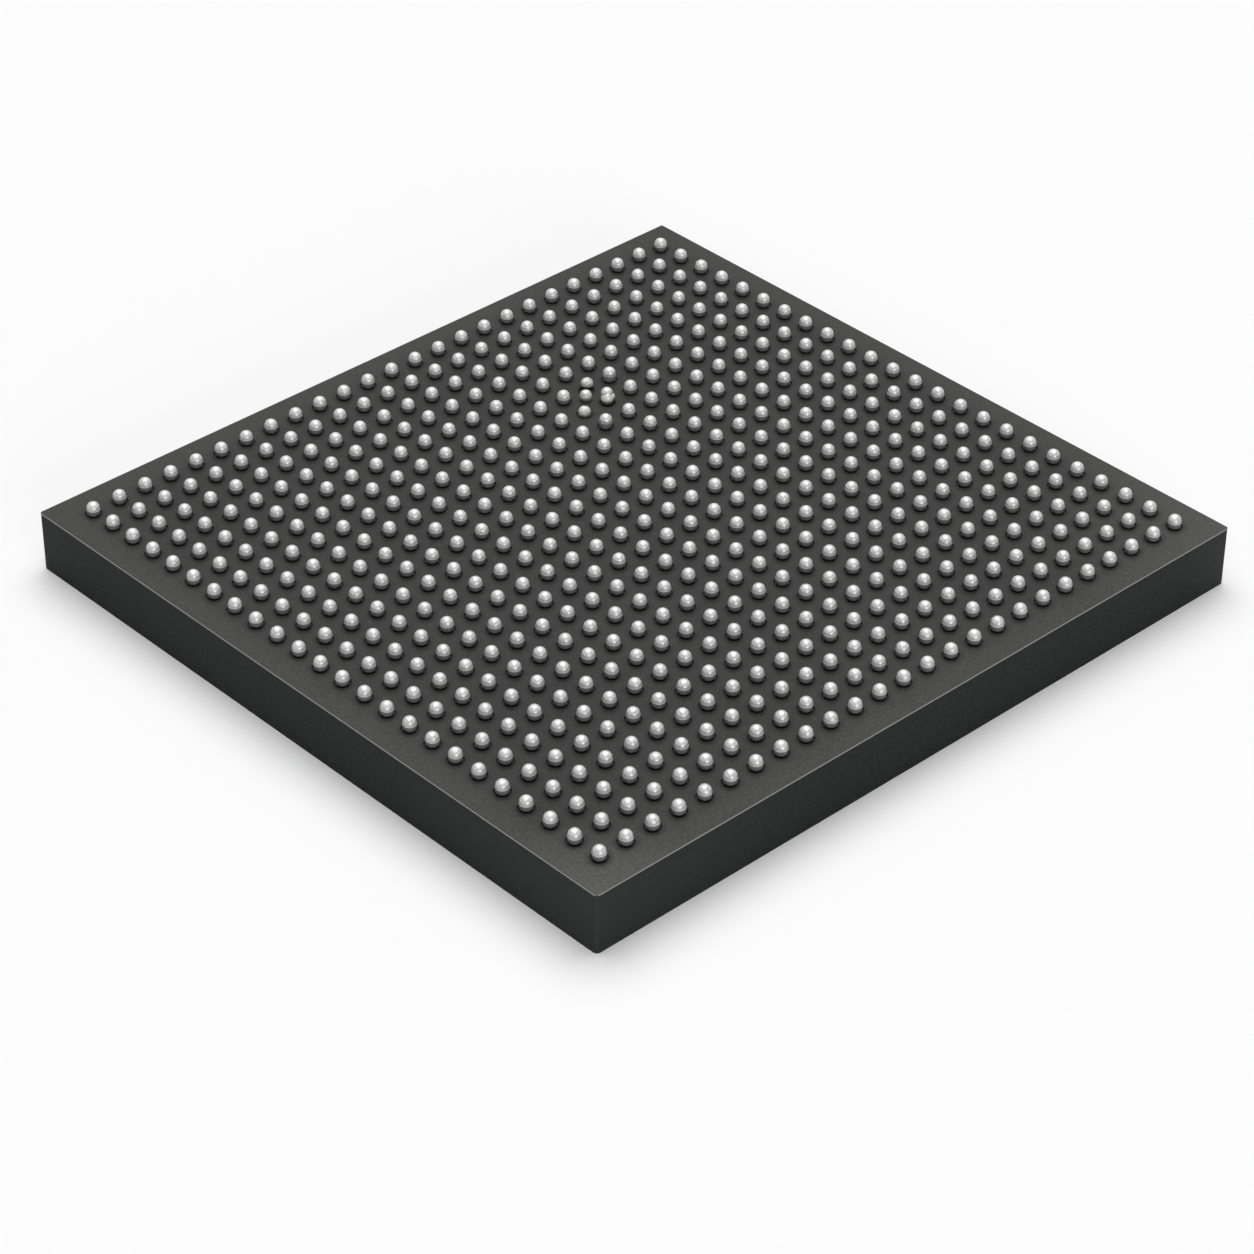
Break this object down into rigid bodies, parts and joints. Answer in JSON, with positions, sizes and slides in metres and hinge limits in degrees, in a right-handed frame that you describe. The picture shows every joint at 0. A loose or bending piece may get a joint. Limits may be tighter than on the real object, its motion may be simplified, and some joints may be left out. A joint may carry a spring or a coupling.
{
  "type": "ball grid array package",
  "caption": "Flat rectangular chip package lying on its moulded face, with a full square grid of small solder balls on top.",
  "frame": {"origin": "centre of the flat moulded face that the package lies on", "axes": "+Z from the moulded face to the solder balls, +X along the lettered rows of balls, which is the longer side, +Y from the last row to row A"},
  "size_m": [0.0264, 0.0254, 0.0025],
  "materials": {
    "molding_compound": "fine matt moulding compound",
    "solder_mask": "satin charcoal solder mask",
    "laminate": "sawn dark glass-epoxy edge",
    "copper": "bare copper",
    "gold_plate": "gold plate",
    "die_adhesive": "cured silver-filled adhesive",
    "silicon": "polished silicon",
    "gold_wire": "drawn gold wire",
    "solder": "bright reflowed solder"
  },
  "bodies": {
    "root": {"mold_cap": "molding_compound", "die_side_mask": "solder_mask", "laminate": "laminate", "ball_side_mask": "solder_mask", "ball_lands": "copper", "die_flag": "gold_plate", "power_ring": "gold_plate", "bond_fingers": "gold_plate", "die_attach": "die_adhesive", "die": "silicon", "bond_wires": "gold_wire", "stray_ball": "solder", "ball_row_a": "solder", "ball_row_b": "solder", "ball_row_c": "solder", "ball_row_d": "solder", "ball_row_e": "solder", "ball_row_f": "solder", "ball_row_g": "solder", "ball_row_h": "solder", "ball_row_j": "solder", "ball_row_k": "solder", "ball_row_l": "solder", "ball_row_m": "solder", "ball_row_n": "solder", "ball_row_p": "solder", "ball_row_r": "solder", "ball_row_t": "solder", "ball_row_u": "solder", "ball_row_v": "solder", "ball_row_w": "solder", "ball_row_y": "solder", "ball_row_aa": "solder", "ball_row_ab": "solder", "ball_row_ac": "solder", "ball_row_ad": "solder"}
  },
  "joints": []
}
